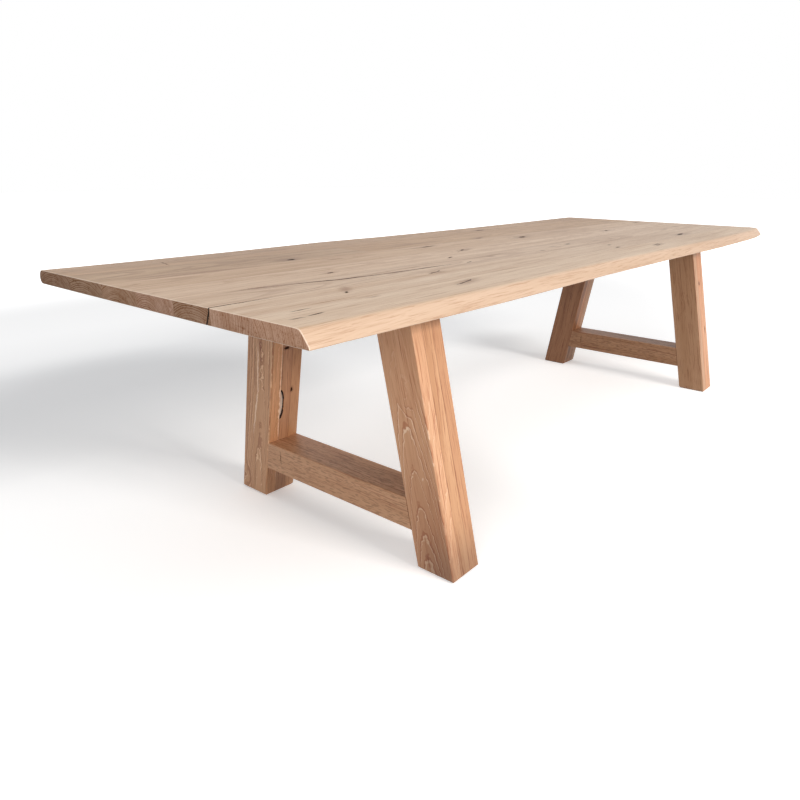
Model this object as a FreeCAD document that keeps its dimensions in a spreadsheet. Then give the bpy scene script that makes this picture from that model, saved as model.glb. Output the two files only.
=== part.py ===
import FreeCAD, Part
import os
import re

import Sketcher

# Trestle dining table in solid oak. The top runs along X, its leaning live edge at -Y is the front,
# and the floor is Z = 0. The origin lies on the floor under the middle of the top's outline.
# All sizes are in millimetres.
SIZES = {
    # The top: seven boards glued edge to edge, counted from the front. The sixth is two lengths end to end.
    "table_height": 760,
    "top_length": 3000,
    "top_thickness": 36,
    "front_board_width": 175,
    "board_2_width": 135,
    "board_3_width": 130,
    "board_4_width": 148,
    "board_5_width": 157,
    "board_6_width": 162,
    "board_6_left_length": 860,
    "back_board_width": 147,
    # The natural edges: the front one swells and leans out, and the back one flares to the right.
    "front_bow": 10,
    "front_bevel": 20,
    "back_flare": 120,
    "back_bevel": 6,
    "live_arris_radius": 7,
    # The two trestles, which stand a little nearer the front edge than the back one.
    "end_overhang": 445,
    "trestle_offset": 76,
    "foot_spread": 904,
    "head_spread": 609,
    "leg_width": 120,
    "stave_thickness": 37,
    "leg_arris_radius": 3,
    # The beams that tie the legs of one trestle, and their tenons.
    "stretcher_bottom": 108,
    "stretcher_height": 90,
    "rail_height": 90,
    "tenon_length": 45,
    "tenon_shoulder": 15,
    "joint_clearance": 0.2,
    # The bolts that hold the top down, their washers and their threaded inserts.
    "bolt_inset": 57,
    "bolt_diameter": 8,
    "bolt_head_width": 13,
    "bolt_head_height": 5.3,
    "bolt_end_setback": 3,
    "movement_clearance": 2,
    "counterbore_depth": 40,
    "socket_clearance": 1.5,
    "washer_diameter": 24,
    "washer_thickness": 2,
    "insert_wall": 2.5,
    "insert_length": 20,
    "insert_hole_spare": 2,
    "hardware_clearance": 0.15,
    # The natural hollow in the left back leg, along one edge of its middle stave.
    "hollow_height": 104,
    "hollow_width": 15,
    "hollow_depth": 16,
    "hollow_middle_height": 322,
}

# How much of the bow and of the flare each live edge has, at even steps from left to right.
FRONT_BOW_SHARES = (0.0, 0.75, 1.0, 0.8, 0.55, 0.15, 0.0)
BACK_FLARE_SHARES = (0.2, 0.27, 0.4, 0.43, 0.5, 0.7, 1.0)

# Sides and legs as signs along X and Y, staves as steps towards the table's end, bolts as rows along Y.
SIDES = {"left": -1, "right": 1}
LEGS = {"front": -1, "back": 1}
STAVES = {"outer": 1, "middle": 0, "inner": -1}
BOLT_ROWS = (-1, 0, 1)
WHOLE_BOARDS = ("board_2", "board_3", "board_4", "board_5")

# Two places or lengths closer than this are the same one.
MATCH_TOLERANCE = 1e-4

# Measures that several pieces share, as expressions of the sizes.
WHOLE_WIDTHS = " + ".join(f"{board}_width" for board in WHOLE_BOARDS)
TOP_WIDTH = f"(front_board_width + {WHOLE_WIDTHS} + board_6_width + back_board_width + back_flare)"
FRONT_LINE = f"(-{TOP_WIDTH} / 2)"
UNDERSIDE = "(table_height - top_thickness)"
LEG_DEPTH = f"({len(STAVES)} * stave_thickness)"
LEG_SLOPE = f"((foot_spread - head_spread) / 2 / {UNDERSIDE})"
LEG_CUT = f"(leg_width / cos(atan({LEG_SLOPE})))"
TRESTLE_PITCH = f"(top_length - 2 * end_overhang - {LEG_DEPTH})"
RAIL_BOTTOM = f"({UNDERSIDE} - rail_height)"
WASHER_SEAT = f"({RAIL_BOTTOM} + counterbore_depth - washer_thickness)"
THREAD_BORE = "(bolt_diameter + 2 * hardware_clearance)"
INSERT_DIAMETER = "(bolt_diameter + 2 * insert_wall)"

doc = FreeCAD.newDocument("trestle_dining_table")
sheet = doc.addObject("Spreadsheet::Sheet", "Sizes")
for row, (alias, number) in enumerate(SIZES.items(), start=1):
    sheet.set(f"A{row}", alias)
    sheet.set(f"B{row}", str(number))
    sheet.setAlias(f"B{row}", alias)
doc.recompute()

nodes = []


# Expressions and measures

def bind(text):
    """An expression of sizes, with each size's name pointing at the sheet."""
    return re.sub(r"[a-z]\w*", lambda word: f"Sizes.{word[0]}" if word[0] in SIZES else word[0], text)


def value(text):
    """The number that an expression of sizes comes to."""
    return float(sheet.evalExpression(bind(text)))


def same(first, second):
    """Whether two measures agree."""
    return abs(first - second) < MATCH_TOLERANCE


def inner_face(height):
    """How far from the trestle's middle the legs' inner faces are at a height."""
    return f"(foot_spread / 2 - {LEG_CUT} - {LEG_SLOPE} * ({height}))"


def bolt_line(row):
    """How far behind the trestle's middle a row of bolts lies."""
    return f"({row} * ({inner_face(UNDERSIDE)} - bolt_inset))"


def stand(item, place):
    """Set an object down at a place given in sizes."""
    for axis, text in zip("xyz", place):
        item.setExpression(f"Placement.Base.{axis}", bind(text))


# Bodies, sketches and features

def new_body(name, place):
    """A body for one piece, set down at its place on the table."""
    body = doc.addObject("PartDesign::Body", name)
    body.Label = name
    stand(body, place)
    nodes.append(body)
    return body


def new_sketch(body, role, name, offset="0"):
    """An empty sketch on one of the body's own planes, moved along the plane's normal."""
    plane = next(feature for feature in body.Origin.OriginFeatures if feature.Role == role)
    sketch = body.newObject("Sketcher::SketchObject", f"{body.Name}_{name}")
    sketch.AttachmentSupport = [(plane, "")]
    sketch.MapMode = "FlatFace"
    sketch.setExpression("AttachmentOffset.Base.z", bind(offset))
    return sketch


def hold(sketch, constraint, text):
    """Add a constraint whose measure follows an expression of sizes."""
    index = sketch.addConstraint(Sketcher.Constraint(*constraint, value(text)))
    sketch.setExpression(f"Constraints[{index}]", bind(text))


def hold_point(sketch, geometry, point, across, up):
    """Hold one point of a sketch at a place measured from the sketch's origin."""
    hold(sketch, ("DistanceX", -1, 1, geometry, point), across)
    hold(sketch, ("DistanceY", -1, 1, geometry, point), up)


def arc_between(start, end, radius):
    """The short arc from one point to another that turns to the left."""
    chord = end - start
    inward = FreeCAD.Vector(-chord.y, chord.x, 0).normalize()
    rise = (radius**2 - chord.Length**2 / 4) ** 0.5
    return Part.Arc(start, (start + end) / 2 + inward * (rise - radius), end)


def add_outline(sketch, corners, rounded=()):
    """A closed outline through pairs of expressions, whose rounded sides are arcs of the live arris."""
    first = sketch.GeometryCount
    count = len(corners)
    places = [FreeCAD.Vector(value(across), value(up), 0) for across, up in corners]
    for i in range(count):
        ends = (places[i], places[(i + 1) % count])
        side = arc_between(*ends, value("live_arris_radius")) if i in rounded else Part.LineSegment(*ends)
        sketch.addGeometry(side)
    for i, (across, up) in enumerate(corners):
        sketch.addConstraint(Sketcher.Constraint("Coincident", first + i, 2, first + (i + 1) % count, 1))
        hold_point(sketch, first + i, 1, across, up)
    for i in rounded:
        hold(sketch, ("Radius", first + i), "live_arris_radius")


def add_circle(sketch, across, up, diameter):
    """A circle at a pair of expressions."""
    centre = FreeCAD.Vector(value(across), value(up), 0)
    index = sketch.addGeometry(Part.Circle(centre, FreeCAD.Vector(0, 0, 1), value(diameter) / 2))
    hold_point(sketch, index, 3, across, up)
    hold(sketch, ("Diameter", index), diameter)


def pad(body, sketch, length):
    """The solid that a sketch sweeps along its plane's normal."""
    feature = body.newObject("PartDesign::Pad", f"{sketch.Name}_pad")
    feature.Profile = sketch
    feature.setExpression("Length", bind(length))
    doc.recompute()


def pocket(body, sketch, depth):
    """A cut along the plane's normal, which has to take something away."""
    before = body.Shape.Volume
    feature = body.newObject("PartDesign::Pocket", f"{sketch.Name}_pocket")
    feature.Profile = sketch
    feature.Reversed = True
    feature.setExpression("Length", bind(depth))
    doc.recompute()
    if body.Shape.Volume >= before:
        raise RuntimeError(f"{sketch.Name} cuts nothing")


def ease(body, pick):
    """Round the arrises of a leg or beam whose middle points are picked."""
    base = body.Tip
    edges = enumerate(base.Shape.Edges, start=1)
    names = [f"Edge{i}" for i, edge in edges if pick(edge.CenterOfMass)]
    feature = body.newObject("PartDesign::Fillet", f"{body.Name}_arrises")
    feature.Base = (base, names)
    feature.setExpression("Radius", bind("leg_arris_radius"))
    doc.recompute()


# The boards of the top

def front_section(share):
    """The front board's end view, where the live edge leans in to a rounded top arris."""
    slope = "atan(top_thickness / front_bevel)"
    tangent = f"live_arris_radius * tan({slope} / 2)"
    foot = f"front_bow * {1 - share}"
    brow = f"{foot} + front_bevel"
    return [
        (foot, "0"),
        ("front_board_width", "0"),
        ("front_board_width", "top_thickness"),
        (f"{brow} + {tangent}", "top_thickness"),
        (f"{brow} - {tangent} * cos({slope})", f"top_thickness - {tangent} * sin({slope})"),
    ]


def back_section(share):
    """The back board's end view, with a steep live edge that is rounded above and below."""
    slope = "atan(top_thickness / back_bevel)"
    top_tangent = f"live_arris_radius * tan({slope} / 2)"
    foot_tangent = f"live_arris_radius / tan({slope} / 2)"
    foot = f"back_board_width + back_flare * {share}"
    brow = f"{foot} - back_bevel"
    return [
        ("0", "0"),
        (f"{foot} - {foot_tangent}", "0"),
        (f"{foot} - {foot_tangent} * cos({slope})", f"{foot_tangent} * sin({slope})"),
        (f"{brow} + {top_tangent} * cos({slope})", f"top_thickness - {top_tangent} * sin({slope})"),
        (f"{brow} - {top_tangent}", "top_thickness"),
        ("0", "top_thickness"),
    ]


def live_edge_board(name, front, sections, rounded):
    """A board with one natural edge, blended through sections at even steps along its length."""
    body = new_body(name, ("-top_length / 2", front, UNDERSIDE))
    steps = len(sections) - 1
    sketches = []
    for i, corners in enumerate(sections):
        sketch = new_sketch(body, "YZ_Plane", f"section_{i}", f"top_length * {i} / {steps}")
        add_outline(sketch, corners, rounded)
        sketches.append(sketch)
    blend = body.newObject("PartDesign::AdditiveLoft", f"{name}_blend")
    blend.Profile = sketches[0]
    blend.Sections = sketches[1:]
    doc.recompute()


def inner_board(name, width, front, start="0", length="top_length"):
    """A plain board or length of one, drilled from below wherever an insert lies in it."""
    body = new_body(name, (f"{start} - top_length / 2", front, UNDERSIDE))
    section = new_sketch(body, "YZ_Plane", "section")
    add_outline(section, [("0", "0"), (width, "0"), (width, "top_thickness"), ("0", "top_thickness")])
    pad(body, section, length)
    bore = f"{INSERT_DIAMETER} + 2 * hardware_clearance"
    reach = value(bore) / 2
    met = []
    for hand in SIDES.values():
        for row in BOLT_ROWS:
            across = f"top_length / 2 + {hand} * {TRESTLE_PITCH} / 2 - {start}"
            up = f"{bolt_line(row)} - trestle_offset - ({front})"
            if -reach < value(across) < value(length) + reach and -reach < value(up) < value(width) + reach:
                met.append((across, up))
    if met:
        holes = new_sketch(body, "XY_Plane", "insert_holes")
        for across, up in met:
            add_circle(holes, across, up, bore)
        pocket(body, holes, "insert_length + insert_hole_spare")


# The trestles

def tenon_outline(hand, bottom, height, spare):
    """A tenon, or with something to spare its notch, from the leg's inner face to the tenon's end."""
    low = f"{bottom} + tenon_shoulder - {spare}"
    high = f"{bottom} + {height} - tenon_shoulder + {spare}"
    end = f"tenon_length + {spare}"
    corners = (("0", low), (end, low), (end, high), ("0", high))
    return [(f"{hand} * ({inner_face(level)} + {reach})", level) for reach, level in corners]


def stave(side, leg, layer):
    """One of the staves glued into a leg; the middle one is notched for the beams' tenons."""
    hand = LEGS[leg]
    step = SIDES[side] * STAVES[layer]
    along = f"{SIDES[side]} * {TRESTLE_PITCH} / 2 + {step} * stave_thickness - stave_thickness / 2"
    body = new_body(f"{side}_{leg}_leg_{layer}_stave", (along, "-trestle_offset", "0"))
    outline = new_sketch(body, "YZ_Plane", "outline")
    corners = (("0", "0"), (LEG_CUT, "0"), (LEG_CUT, UNDERSIDE), ("0", UNDERSIDE))
    add_outline(outline, [(f"{hand} * ({inner_face(level)} + {reach})", level) for reach, level in corners])
    pad(body, outline, "stave_thickness")
    left_face, right_face = 0, value("stave_thickness")
    glued_faces = {-1: [right_face], 0: [left_face, right_face], 1: [left_face]}[step]
    hidden = lambda p: same(p.z, value(UNDERSIDE)) or any(same(p.x, face) for face in glued_faces)
    ease(body, lambda p: not hidden(p))
    if layer == "middle":
        notches = new_sketch(body, "YZ_Plane", "notches")
        add_outline(notches, tenon_outline(hand, "stretcher_bottom", "stretcher_height", "joint_clearance"))
        add_outline(notches, tenon_outline(hand, RAIL_BOTTOM, "rail_height", "joint_clearance"))
        pocket(body, notches, "stave_thickness")
    return body


def hollow(body):
    """A natural hollow in a stave's inner face, half over the stave's edge and long the way of the leg."""
    feature = body.newObject("PartDesign::SubtractiveEllipsoid", f"{body.Name}_hollow")
    feature.setExpression("Radius1", bind("hollow_height / 2"))
    feature.setExpression("Radius2", bind("hollow_width"))
    feature.setExpression("Radius3", bind("hollow_depth"))
    feature.Placement.Rotation.Axis = FreeCAD.Vector(1, 0, 0)
    feature.setExpression("Placement.Rotation.Angle", bind(f"atan({LEG_SLOPE})"))
    stand(feature, ("0", inner_face("hollow_middle_height"), "hollow_middle_height"))
    doc.recompute()


def beam(name, side, bottom, height):
    """A beam between the legs of one trestle, cut to their slope, with a tenon at each end."""
    along = f"{SIDES[side]} * {TRESTLE_PITCH} / 2 - {LEG_DEPTH} / 2"
    body = new_body(name, (along, "-trestle_offset", "0"))
    top = f"{bottom} + {height}"
    outline = new_sketch(body, "YZ_Plane", "outline")
    corners = ((-1, bottom), (1, bottom), (1, top), (-1, top))
    add_outline(outline, [(f"{hand} * {inner_face(level)}", level) for hand, level in corners])
    pad(body, outline, LEG_DEPTH)
    ease(body, lambda p: same(p.y, 0) and not same(p.x, value(LEG_DEPTH) / 2))
    tenons = new_sketch(body, "YZ_Plane", "tenons", "stave_thickness + joint_clearance")
    for hand in LEGS.values():
        add_outline(tenons, tenon_outline(hand, bottom, height, "0"))
    pad(body, tenons, "stave_thickness - 2 * joint_clearance")
    return body


def bolt_holes(rail):
    """Counterbores from below for heads and washers, and holes that leave the top room to move."""
    drillings = (
        ("counterbores", "washer_diameter + 2 * socket_clearance", "counterbore_depth"),
        ("bolt_holes", "bolt_diameter + 2 * movement_clearance", "rail_height"),
    )
    for name, diameter, depth in drillings:
        holes = new_sketch(rail, "XY_Plane", name, RAIL_BOTTOM)
        for row in BOLT_ROWS:
            add_circle(holes, f"{LEG_DEPTH} / 2", bolt_line(row), diameter)
        pocket(rail, holes, depth)


# The bolts that hold the top down

def cylinder(name, place, diameter, length):
    """An upright cylinder standing on its place."""
    item = doc.addObject("Part::Cylinder", name)
    item.setExpression("Radius", bind(f"{diameter} / 2"))
    item.setExpression("Height", bind(length))
    stand(item, place)
    return item


def ring(name, place, diameter, length):
    """A washer or sleeve standing on its place, bored for the bolt."""
    item = doc.addObject("Part::Cut", name)
    item.Base = cylinder(f"{name}_blank", place, diameter, length)
    item.Tool = cylinder(f"{name}_bore", place, THREAD_BORE, length)
    return item


def hex_bolt(name, along, across):
    """A bolt with its head under the washer, in the counterbore, and its end in the insert."""
    reach = f"{UNDERSIDE} + insert_length - bolt_end_setback - {WASHER_SEAT}"
    head = doc.addObject("Part::Prism", f"{name}_head")
    head.Polygon = 6
    head.setExpression("Circumradius", bind("bolt_head_width / sqrt(3)"))
    head.setExpression("Height", bind("bolt_head_height"))
    stand(head, (along, across, f"{WASHER_SEAT} - bolt_head_height"))
    item = doc.addObject("Part::Fuse", name)
    item.Base = cylinder(f"{name}_shank", (along, across, WASHER_SEAT), "bolt_diameter", reach)
    item.Tool = head
    return item


def group(name, items):
    """Like pieces that share one node, each still a solid of its own."""
    bundle = doc.addObject("Part::Compound", name)
    bundle.Label = name
    bundle.Links = items
    nodes.append(bundle)


def top_fastening(side):
    """The bolts, washers and threaded inserts between one trestle and the top."""
    bolts, washers, inserts = [], [], []
    for i, row in enumerate(BOLT_ROWS, start=1):
        place = (f"{SIDES[side]} * {TRESTLE_PITCH} / 2", f"{bolt_line(row)} - trestle_offset")
        seat = (*place, WASHER_SEAT)
        bolts.append(hex_bolt(f"{side}_bolt_{i}", *place))
        washers.append(ring(f"{side}_washer_{i}", seat, "washer_diameter", "washer_thickness"))
        inserts.append(ring(f"{side}_insert_{i}", (*place, UNDERSIDE), INSERT_DIAMETER, "insert_length"))
    group(f"{side}_top_bolts", bolts)
    group(f"{side}_bolt_washers", washers)
    group(f"{side}_threaded_inserts", inserts)


# The top, from its front live edge to its back one
front_sections = [front_section(share) for share in FRONT_BOW_SHARES]
live_edge_board("top_front_edge_board", FRONT_LINE, front_sections, (3,))
next_line = f"{FRONT_LINE} + front_board_width"
for board in WHOLE_BOARDS:
    inner_board(f"top_{board}", f"{board}_width", next_line)
    next_line += f" + {board}_width"
right_length = "(top_length - board_6_left_length)"
inner_board("top_board_6_left", "board_6_width", next_line, length="board_6_left_length")
inner_board("top_board_6_right", "board_6_width", next_line, "board_6_left_length", right_length)
next_line += " + board_6_width"
back_sections = [back_section(share) for share in BACK_FLARE_SHARES]
live_edge_board("top_back_edge_board", next_line, back_sections, (1, 3))

# Each trestle: two staved legs, a low stretcher, a rail under the top and what bolts it up
for side in SIDES:
    for leg in LEGS:
        for layer in STAVES:
            stave(side, leg, layer)
    beam(f"{side}_stretcher", side, "stretcher_bottom", "stretcher_height")
    bolt_holes(beam(f"{side}_upper_rail", side, RAIL_BOTTOM, "rail_height"))
    top_fastening(side)
hollow(doc.getObject("left_back_leg_middle_stave"))

# Nothing is written unless every object is sound
doc.recompute()
failed = [item.Name for item in doc.Objects if "Invalid" in item.State or "Error" in item.State]
failed += [node.Label for node in nodes if node.Shape.isNull() or not node.Shape.isValid()]
if failed:
    raise RuntimeError(f"failed objects: {failed}")
os.makedirs("parts", exist_ok=True)
for node in nodes:
    node.Shape.exportStep(f"parts/{node.Label}.step")
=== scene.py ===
import math

import bpy
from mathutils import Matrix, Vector


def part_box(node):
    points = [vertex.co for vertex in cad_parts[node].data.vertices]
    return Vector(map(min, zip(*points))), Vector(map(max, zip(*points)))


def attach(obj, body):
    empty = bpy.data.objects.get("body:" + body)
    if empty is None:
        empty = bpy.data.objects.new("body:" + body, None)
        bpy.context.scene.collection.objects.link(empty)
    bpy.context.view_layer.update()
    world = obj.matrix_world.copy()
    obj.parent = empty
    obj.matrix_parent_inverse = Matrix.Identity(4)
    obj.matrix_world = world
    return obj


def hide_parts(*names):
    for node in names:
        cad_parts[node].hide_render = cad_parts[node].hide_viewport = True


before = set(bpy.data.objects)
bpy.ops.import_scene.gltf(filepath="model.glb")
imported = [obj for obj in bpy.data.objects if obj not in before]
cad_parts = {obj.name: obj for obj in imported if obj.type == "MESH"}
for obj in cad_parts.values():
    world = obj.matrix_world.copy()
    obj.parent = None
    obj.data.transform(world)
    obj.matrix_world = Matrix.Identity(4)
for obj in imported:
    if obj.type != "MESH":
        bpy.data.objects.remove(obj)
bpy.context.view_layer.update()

# The legs: each is glued up from three sawn oak staves, leans in at the top and is planed flush outside.
# The staves come from different logs, so their grain and colour change at the glue lines.
# In y, a leg leans by LEG_LEAN for each unit of height, and the middles of the feet lie at LEG_MIDDLES.
MM = 0.001
LEG_LEAN = 0.2037
LEG_MIDDLES = {"front": -466.8, "back": 314.8}


def linear(hex_colour):
    """An sRGB hex colour as the linear RGBA that a shader socket takes."""
    channels = [int(hex_colour[i:i + 2], 16) / 255 for i in (1, 3, 5)]
    return [c / 12.92 if c <= 0.04045 else ((c + 0.055) / 1.055) ** 2.4 for c in channels] + [1]


def add(tree, kind, settings=None, inputs=None):
    """Add one shader node with its settings. An input is a number, a colour, or what it is linked to."""
    node = tree.nodes.new(f"ShaderNode{kind}")
    for name, setting in (settings or {}).items():
        setattr(node, name, setting)
    for name, source in (inputs or {}).items():
        if isinstance(source, bpy.types.Node):
            source = source.outputs[0]
        if isinstance(source, bpy.types.NodeSocket):
            tree.links.new(source, node.inputs[name])
        else:
            node.inputs[name].default_value = source
    return node


# How each kind of mark in the wood fades with distance from its middle, as shares of its half size.
# A knot is a dark core in a brown rim, and the rings swing round it. A check is a fine open crack, a stain
# is a brown cloud, and glue darkens a joint. Dull wood is a little greyer, and pale wood is sapwood, though
# one pale line on a back leg is a painted highlight. Painted light makes a strip of that leg lighter and
# redder, and painted shade darkens the front leg towards its foot. A burl swings the rings, and plain wood
# hardly shows them.
MARK_SHARES = {
    "knot": {"dark": (0.45, 0.9), "brown": (0.5, 1.7), "swirl": (0.0, 4.5)},
    "check": {"dark": (0.4, 1.0)},
    "stain": {"brown": (0.1, 1.0)},
    "glue": {"brown": (0.1, 1.0)},
    "dull": {"dull": (0.0, 1.0)},
    "pale": {"pale": (0.3, 1.0)},
    "painted_light_strip": {"painted_light_strip": (0.5, 1.0)},
    "burl": {"swirl": (0.0, 1.0)},
    "plain": {"plain": (0.7, 1.0)},
    "painted_foot_shade": {"painted_foot_shade": (0.0, 1.0)},
}
# Painted light: how much a strip is made lighter and redder.
PAINTED_LIGHT_GAIN = (1.34, 1.27, 1.22, 1)

# Patterns in the oak as waves to the metre, along the grain and then across it. The log's bows are 400 by
# 110 mm, its colour bands 770 by 36 mm, streaks 290 by 6 mm, pores 110 by 3 mm and rays 22 by 4 mm.
# Real streaks, pores and rays are finer: these are drawn coarse enough to show across a room.
BOWS = (2.5, 9, 9)
BANDS = (1.3, 28, 28)
STREAKS = (3.5, 160, 160)
PORES = (9, 330, 330)
RAYS = (45, 260, 260)

# The outlines of marks shift by some millimetres in 17 mm waves. Rings swing by two ring widths round a knot,
# their widths vary, and the dark late wood of a year trails its line by part of a turn.
MARK_WAVES = 60
MARK_SHIFT = (0.014, 0.01, 0.01)
KNOT_SWING = 2.2
RING_UNEVENNESS = 1.3
LATE_LAG = 0.9


def oak(name, grain, pith, tones, marks=(), ring=4.5, taper=0.03, lines=0.5, drift=35, jag=0.0, dash=0.6,
        flecks=0.0, soak="#cfc0b6", painted_arris_highlight=0.0, flat_face=(0, 0, 1), seed=0.0):
    """Oak as sawn from a log: growth rings about a pith, long pores, knots and checks under a matt oil.

    The eye gets fine streaks along the grain, arched figure where a face cuts the rings flat, and darker
    end grain with ring arcs. Tones are the pale wood, the darker wood, the ring lines and the knots.
    Ring, drift and jag are the rings' spacing, wandering and fraying in millimetres. Lines, dash and flecks
    are how strongly ring lines, streaks and rays show. Soak tints end grain, and a painted highlight pales
    its arrises."""
    material = bpy.data.materials.new(f"oiled oak {name}")
    material.use_nodes = True
    tree = material.node_tree
    pale, deep, line, knot = (linear(tone) for tone in tones)
    place = add(tree, "TexCoord").outputs["Object"]
    log = add(tree, "Mapping", {"vector_type": "TEXTURE"}, {
        "Vector": place,
        "Location": [p * MM for p in pith],
        "Rotation": Vector(grain).to_track_quat("X", "Z").to_euler(),
    })

    # Marks sit at places on the piece, with an uneven outline.
    ragged = add(tree, "TexNoise", None, {"Vector": place, "Scale": MARK_WAVES, "Detail": 4})
    uncentred = {0: ragged.outputs["Color"], 1: (0.5, 0.5, 0.5)}
    shift = add(tree, "VectorMath", {"operation": "SUBTRACT"}, uncentred)
    shaky = add(tree, "VectorMath", {"operation": "MULTIPLY_ADD"}, {0: shift, 1: MARK_SHIFT, 2: place})
    layers = {}
    for kind, centre, size, angle in marks:
        spot = add(tree, "Mapping", {"vector_type": "TEXTURE"}, {
            "Vector": place if kind == "glue" else shaky,
            "Location": [c * MM for c in centre],
            "Rotation": [math.radians(a) for a in angle],
            "Scale": [s / 2 * MM for s in size],
        })
        away = add(tree, "VectorMath", {"operation": "LENGTH"}, {0: spot}).outputs["Value"]
        for layer, (inner, outer) in MARK_SHARES[kind].items():
            mask = add(tree, "MapRange", {"interpolation_type": "SMOOTHSTEP"}, {
                "Value": away, "From Min": inner, "From Max": outer, "To Min": 1.0, "To Max": 0.0,
            })
            if layer in layers:
                mask = add(tree, "Math", {"operation": "MAXIMUM"}, {0: layers[layer], 1: mask})
            layers[layer] = mask

    # The log isn't straight: its rings drift by some millimetres, and swing round the knots.
    slow = add(tree, "VectorMath", {"operation": "MULTIPLY_ADD"}, {0: log, 1: BOWS, 2: (seed, seed, 0)})
    bows = add(tree, "TexNoise", None, {"Vector": slow, "Scale": 1, "Detail": 5})
    sway = add(tree, "VectorMath", {"operation": "SUBTRACT"}, {0: bows.outputs["Color"], 1: (0.5, 0.5, 0.5)})
    reach = (0, drift * MM, drift * MM)
    bent = add(tree, "VectorMath", {"operation": "MULTIPLY_ADD"}, {0: sway, 1: reach, 2: log})
    across = add(tree, "VectorMath", {"operation": "MULTIPLY"}, {0: bent, 1: (0, 1, 1)})
    radius = add(tree, "VectorMath", {"operation": "LENGTH"}, {0: across}).outputs["Value"]
    along = add(tree, "SeparateXYZ", None, {0: bent}).outputs["X"]
    cone = add(tree, "Math", {"operation": "MULTIPLY_ADD"}, {0: along, 1: taper, 2: radius})
    if jag:
        frayed = {0: ragged.outputs["Fac"], 1: jag * MM, 2: cone}
        cone = add(tree, "Math", {"operation": "MULTIPLY_ADD"}, frayed)
    if "swirl" in layers:
        swing = KNOT_SWING * ring * MM
        cone = add(tree, "Math", {"operation": "MULTIPLY_ADD"}, {0: layers["swirl"], 1: swing, 2: cone})
    years = add(tree, "Math", {"operation": "MULTIPLY_ADD"}, {0: cone, 1: 1 / (ring * MM), 2: seed})
    uneven = add(tree, "TexNoise", {"noise_dimensions": "1D"}, {"W": years, "Scale": 0.7, "Detail": 1})
    vary = {0: uneven.outputs[0], 1: RING_UNEVENNESS, 2: years}
    phase = add(tree, "Math", {"operation": "MULTIPLY_ADD"}, vary)
    turn = add(tree, "Math", {"operation": "MULTIPLY"}, {0: phase, 1: 2 * math.pi})
    late_turn = add(tree, "Math", {"operation": "SUBTRACT"}, {0: turn, 1: LATE_LAG})
    wave, late_wave = (add(tree, "Math", {"operation": "SINE"}, {0: t}) for t in (turn, late_turn))
    facing = add(tree, "NewGeometry").outputs["Normal"]
    flatly, squarely = (
        add(tree, "VectorMath", {"operation": "DOT_PRODUCT"}, {0: facing, 1: way}).outputs["Value"]
        for way in (flat_face, Vector(grain).normalized())
    )
    flatness, steep = (
        add(tree, "Math", {"operation": "ABSOLUTE"}, {0: turned}) for turned in (flatly, squarely)
    )
    face_figure = add(tree, "MapRange", None, {"Value": flatness, "To Min": 0.3, "To Max": 1.0})
    end_figure = add(tree, "MapRange", None, {
        "Value": steep, "From Min": 0.6, "From Max": 0.95, "To Max": 2.0,
    })
    figure = add(tree, "Math", {"operation": "ADD"}, {0: face_figure, 1: end_figure})
    if "plain" in layers:
        plain = add(tree, "MapRange", None, {"Value": layers["plain"], "To Min": 1.0, "To Max": 0.2})
        figure = add(tree, "Math", {"operation": "MULTIPLY"}, {0: figure, 1: plain})
    lined, late = (add(tree, "MapRange", {"interpolation_type": "SMOOTHSTEP"}, {
        "Value": value, "From Min": low, "From Max": 1.0, "To Max": most,
    }) for value, low, most in ((wave, 0.86, lines), (late_wave, 0.7, 0.6 * lines)))
    lined, late = (
        add(tree, "Math", {"operation": "MULTIPLY"}, {0: figure, 1: share}) for share in (lined, late)
    )

    # Colour bands, streaks and pores run along the grain, and short rays lie across it.
    wide = add(tree, "VectorMath", {"operation": "MULTIPLY_ADD"}, {0: bent, 1: BANDS, 2: (seed, 0, seed)})
    band = add(tree, "TexNoise", None, {"Vector": wide, "Scale": 1, "Detail": 3})
    thin = add(tree, "VectorMath", {"operation": "MULTIPLY"}, {0: bent, 1: STREAKS})
    streak = add(tree, "TexNoise", None, {"Vector": thin, "Scale": 1, "Detail": 4, "Roughness": 0.65})
    fine = add(tree, "VectorMath", {"operation": "MULTIPLY"}, {0: bent, 1: PORES})
    pore = add(tree, "TexNoise", None, {"Vector": fine, "Scale": 1, "Detail": 3, "Roughness": 0.6})
    pores = add(tree, "MapRange", {"interpolation_type": "SMOOTHSTEP"}, {
        "Value": pore.outputs["Fac"], "From Min": 0.52, "From Max": 0.68, "To Max": 0.52,
    })
    dashes = add(tree, "MapRange", {"interpolation_type": "SMOOTHSTEP"}, {
        "Value": streak.outputs["Fac"], "From Min": 0.55, "From Max": 0.67, "To Max": dash,
    })
    hairs = add(tree, "MapRange", {"interpolation_type": "SMOOTHSTEP"}, {
        "Value": streak.outputs["Fac"], "From Min": 0.62, "From Max": 0.7, "To Max": min(lines, 0.5),
    })
    tone = add(tree, "MapRange", None, {"Value": band.outputs["Fac"], "From Min": 0.28, "From Max": 0.72})
    colour = add(tree, "MixRGB", None, {"Fac": tone, "Color1": pale, "Color2": deep})
    colour = add(tree, "MixRGB", None, {"Fac": lined, "Color1": colour, "Color2": line})
    for grain_lines in (late, pores, dashes, hairs):
        darker = {"Fac": grain_lines, "Color1": colour, "Color2": deep}
        colour = add(tree, "MixRGB", {"blend_type": "MULTIPLY"}, darker)
    if flecks:
        short = add(tree, "Mapping", None, {"Vector": log, "Rotation": (0, 0.3, 0.3), "Scale": RAYS})
        ray = add(tree, "TexNoise", None, {"Vector": short, "Scale": 1, "Detail": 1})
        rays = add(tree, "MapRange", {"interpolation_type": "SMOOTHSTEP"}, {
            "Value": ray.outputs["Fac"], "From Min": 0.5, "From Max": 0.66, "To Max": flecks,
        })
        colour = add(tree, "MixRGB", None, {"Fac": rays, "Color1": colour, "Color2": line})
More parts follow.
